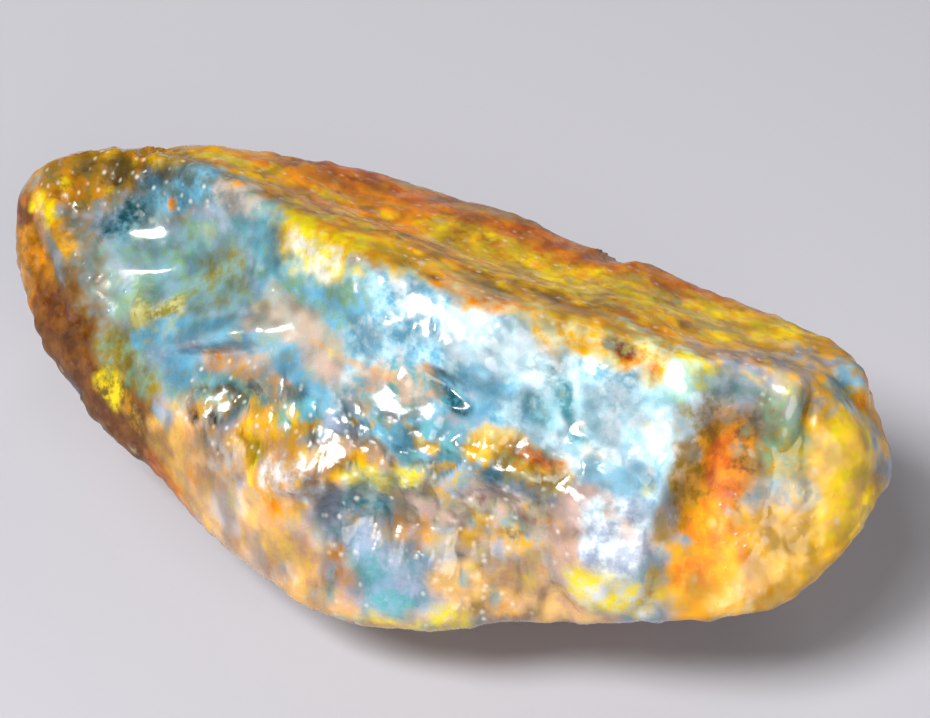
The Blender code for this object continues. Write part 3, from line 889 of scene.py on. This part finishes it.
def lump_of_amber():
    grid, fine = lump_points()
    mesh, points = closed_skin("amber_skin", grid)
    first, second = painted(points, listed(fine))
    colour_layer(mesh, "stain", first)
    colour_layer(mesh, "second_stain", second)
    colour_layer(mesh, "finish", np.column_stack([rubble(points), gloss(points), beaded(points)]))
    skin = bpy.data.objects.new("amber_skin", mesh)
    bpy.context.scene.collection.objects.link(skin)
    mesh.materials.append(amber())
    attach(skin, "root")
    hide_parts("amber")
    return skin


def wired(material):
    material.use_nodes = True
    nodes = material.node_tree.nodes
    nodes.clear()
    return nodes, material.node_tree.links


def noise(nodes, links, place, scale, detail, roughness):
    node = nodes.new("ShaderNodeTexNoise")
    node.inputs["Scale"].default_value = scale
    node.inputs["Detail"].default_value = detail
    node.inputs["Roughness"].default_value = roughness
    links.new(place, node.inputs["Vector"])
    return node.outputs["Fac"]


def ranged(nodes, links, value, low, high, to_low, to_high):
    node = nodes.new("ShaderNodeMapRange")
    node.interpolation_type = "SMOOTHSTEP"
    for name, number in (("From Min", low), ("From Max", high), ("To Min", to_low), ("To Max", to_high)):
        node.inputs[name].default_value = number
    links.new(value, node.inputs["Value"])
    return node.outputs["Result"]


def reckoned(nodes, links, operation, first, second):
    """One sum of two values, each of them a socket or a plain number."""
    node = nodes.new("ShaderNodeMath")
    node.operation = operation
    for socket, value in zip(node.inputs, (first, second)):
        if isinstance(value, (int, float)):
            socket.default_value = value
        else:
            links.new(value, socket)
    return node.outputs["Value"]


def mingled(nodes, links, mask, first, second):
    """The first colour, giving way to the second one, which may be plain, as the mask goes from 0 to 1."""
    node = nodes.new("ShaderNodeMix")
    node.data_type = "RGBA"
    links.new(mask, node.inputs["Factor"])
    links.new(first, node.inputs["A"])
    if isinstance(second, tuple):
        node.inputs["B"].default_value = second
    else:
        links.new(second, node.inputs["B"])
    return node.outputs["Result"]


def vectors(nodes, links, operation, first, second=None, scale=None):
    """One sum of two vectors, or of a vector and a number."""
    node = nodes.new("ShaderNodeVectorMath")
    node.operation = operation
    links.new(first, node.inputs[0])
    if second is not None:
        links.new(second, node.inputs[1])
    if scale is not None:
        links.new(scale, node.inputs["Scale"])
    return node.outputs["Vector"]


def beads(nodes, links, place, per_metre, reach, chance, lean):
    """Round beads in some of the cells: a mask, 1 at a bead's middle and 0 at its reach, and how the
    bead leans the skin's normal, outwards from its middle, so that it glints."""
    dots = nodes.new("ShaderNodeTexVoronoi")
    dots.inputs["Scale"].default_value = per_metre
    links.new(place, dots.inputs["Vector"])
    split = nodes.new("ShaderNodeSeparateColor")
    links.new(dots.outputs["Color"], split.inputs["Color"])
    near = ranged(nodes, links, dots.outputs["Distance"], 0.0, reach, 1.0, 0.0)
    kept = reckoned(nodes, links, "LESS_THAN", split.outputs["Red"], chance)
    mask = reckoned(nodes, links, "MULTIPLY", near, kept)
    outward = vectors(nodes, links, "SUBTRACT", place, dots.outputs["Position"])
    leaning = reckoned(nodes, links, "MULTIPLY", mask, lean)
    return mask, vectors(nodes, links, "SCALE", outward, scale=leaning)


def painted_layer(nodes, name):
    node = nodes.new("ShaderNodeAttribute")
    node.attribute_name = name
    return node


def amber():
    """Cloudy amber: glassy body with honey-coloured absorption under a painted, glossy, gritty skin."""
    material = bpy.data.materials.new("amber")
    nodes, links = wired(material)
    out = nodes.new("ShaderNodeOutputMaterial")
    skin = nodes.new("ShaderNodeBsdfPrincipled")
    skin.inputs["Metallic"].default_value = 0.0
    skin.inputs["IOR"].default_value = AMBER_IOR
    skin.inputs["Transmission Weight"].default_value = SEE_THROUGH
    skin.inputs["Specular IOR Level"].default_value = SHINE
    skin.inputs["Coat Roughness"].default_value = COAT_ROUGHNESS
    skin.inputs["Coat IOR"].default_value = AMBER_IOR
    links.new(skin.outputs["BSDF"], out.inputs["Surface"])
    body = nodes.new("ShaderNodeVolumeAbsorption")
    body.inputs["Color"].default_value = BODY_COLOUR
    body.inputs["Density"].default_value = BODY_DENSITY
    links.new(body.outputs["Volume"], out.inputs["Volume"])

    place = nodes.new("ShaderNodeTexCoord").outputs["Object"]
    stain = painted_layer(nodes, "stain").outputs["Color"]
    second = painted_layer(nodes, "second_stain").outputs["Color"]
    finish = nodes.new("ShaderNodeSeparateColor")
    links.new(painted_layer(nodes, "finish").outputs["Color"], finish.inputs["Color"])
    rubbly, wet, beady = (finish.outputs[name] for name in ("Red", "Green", "Blue"))
    mingling = ranged(nodes, links, noise(nodes, links, place, *MINGLING), *MINGLING_EDGE, 0.0, 1.0)
    colour = mingled(nodes, links, mingling, stain, second)
    speck, speck_lean = beads(nodes, links, place, *SPECKS)
    drop, drop_lean = beads(nodes, links, place, *DROPS)
    # pale paint on the beads: partly pale specks, partly painted glints over the real ones they make
    speck_paint_and_glint = ranged(nodes, links, rubbly, 0, 1, 0.0, SPECK_PAINT_AND_GLINT)
    pale = reckoned(nodes, links, "MULTIPLY", speck, speck_paint_and_glint)
    frost = (*linear(HUES["frost"]), 1.0)
    links.new(mingled(nodes, links, pale, colour, frost), skin.inputs["Base Color"])

    grit = noise(nodes, links, place, *GRIT)
    gritty = ranged(nodes, links, grit, *GRIT_EDGE, *GRIT_ROUGHNESS)
    dry = ranged(nodes, links, wet, 0, 1, DRY_ROUGHNESS, 0.0)
    dull = reckoned(nodes, links, "ADD", gritty, dry)
    sleek = ranged(nodes, links, speck, 0, 1, 1.0, SPECK_SMOOTHNESS)
    links.new(reckoned(nodes, links, "MULTIPLY", dull, sleek), skin.inputs["Roughness"])
    raised = ranged(nodes, links, rubbly, 0, 1, *GRIT_HEIGHTS)
    bump = nodes.new("ShaderNodeBump")
    bump.inputs["Strength"].default_value = BUMP_STRENGTH
    bump.inputs["Distance"].default_value = BUMP_DEPTH
    links.new(reckoned(nodes, links, "MULTIPLY", grit, raised), bump.inputs["Height"])
    drops = vectors(nodes, links, "SCALE", drop_lean, scale=beady)
    normal = vectors(nodes, links, "ADD", bump.outputs["Normal"], speck_lean)
    normal = vectors(nodes, links, "ADD", normal, drops)
    links.new(vectors(nodes, links, "NORMALIZE", normal), skin.inputs["Normal"])
    links.new(wet, skin.inputs["Coat Weight"])
    return material


def plain(name, colour, roughness):
    material = bpy.data.materials.new(name)
    nodes, links = wired(material)
    out = nodes.new("ShaderNodeOutputMaterial")
    coat = nodes.new("ShaderNodeBsdfPrincipled")
    coat.inputs["Base Color"].default_value = (*linear(colour), 1.0)
    coat.inputs["Roughness"].default_value = roughness
    links.new(coat.outputs["BSDF"], out.inputs["Surface"])
    return material


def studio_floor():
    """A wide pale square, level with the foot of the lump."""
    half = FLOOR_HALF
    mesh = bpy.data.meshes.new("floor")
    corners = [(-half, -half, 0), (half, -half, 0), (half, half, 0), (-half, half, 0)]
    mesh.from_pydata(corners, [], [(0, 1, 2, 3)])
    mesh.materials.append(plain("pale floor", FLOOR_COLOUR, FLOOR_ROUGHNESS))
    floor = bpy.data.objects.new("floor", mesh)
    floor.location.z = -FLOOR_GAP
    bpy.context.scene.collection.objects.link(floor)


def area_light(name, way, distance, size, power, colour):
    """A round lamp that many metres from the heart of the lump, facing it."""
    data = bpy.data.lights.new(name, "AREA")
    data.shape = "DISK"
    data.size = size
    data.energy = power
    data.color = colour
    lamp = bpy.data.objects.new(name, data)
    way = Vector(way).normalized()
    lamp.location = Vector(HEART * MM) + way * distance
    lamp.rotation_mode = "QUATERNION"
    lamp.rotation_quaternion = way.to_track_quat("Z", "Y")
    bpy.context.scene.collection.objects.link(lamp)


def studio_light():
    for name, lamp in LAMPS.items():
        area_light(name, *lamp)
    world = bpy.data.worlds.new("studio air")
    world.use_nodes = True
    air = world.node_tree.nodes["Background"]
    air.inputs["Color"].default_value = AIR_COLOUR
    air.inputs["Strength"].default_value = AIR_STRENGTH
    bpy.context.scene.world = world
    bpy.context.scene.view_settings.view_transform = "Standard"


def camera_axes():
    """The camera's right, its up, and the way back to it from the lump."""
    a, e = CAMERA_AZIMUTH, CAMERA_ELEVATION
    right = np.array([math.cos(a), math.sin(a), 0])
    up = np.array([-math.sin(e) * math.sin(a), math.sin(e) * math.cos(a), math.cos(e)])
    back = np.array([math.sin(a) * math.cos(e), -math.cos(a) * math.cos(e), math.sin(e)])
    return right, up, back


def camera():
    """Looks at the lump from the front right and above, so that its heart is seen where it should be."""
    right, up, back = camera_axes()
    place = HEART + back * CAMERA_DISTANCE
    off = (np.array(MIDDLE_PIXEL) - np.array(HEART_PIXEL)) / PIXELS_PER_MM
    target = HEART + right * off[0] - up * off[1]
    data = bpy.data.cameras.new("camera")
    data.sensor_width = FILM_WIDTH
    data.lens = FILM_WIDTH * PIXELS_PER_MM * CAMERA_DISTANCE / PICTURE_WIDTH
    data.clip_start = CLIP_NEAR
    data.clip_end = CLIP_FAR
    eye = bpy.data.objects.new("camera", data)
    eye.location = Vector(place * MM)
    eye.rotation_mode = "QUATERNION"
    eye.rotation_quaternion = Vector(place - target).to_track_quat("Z", "Y")
    bpy.context.scene.collection.objects.link(eye)
    bpy.context.scene.camera = eye


camera()
studio_light()
studio_floor()
lump_of_amber()
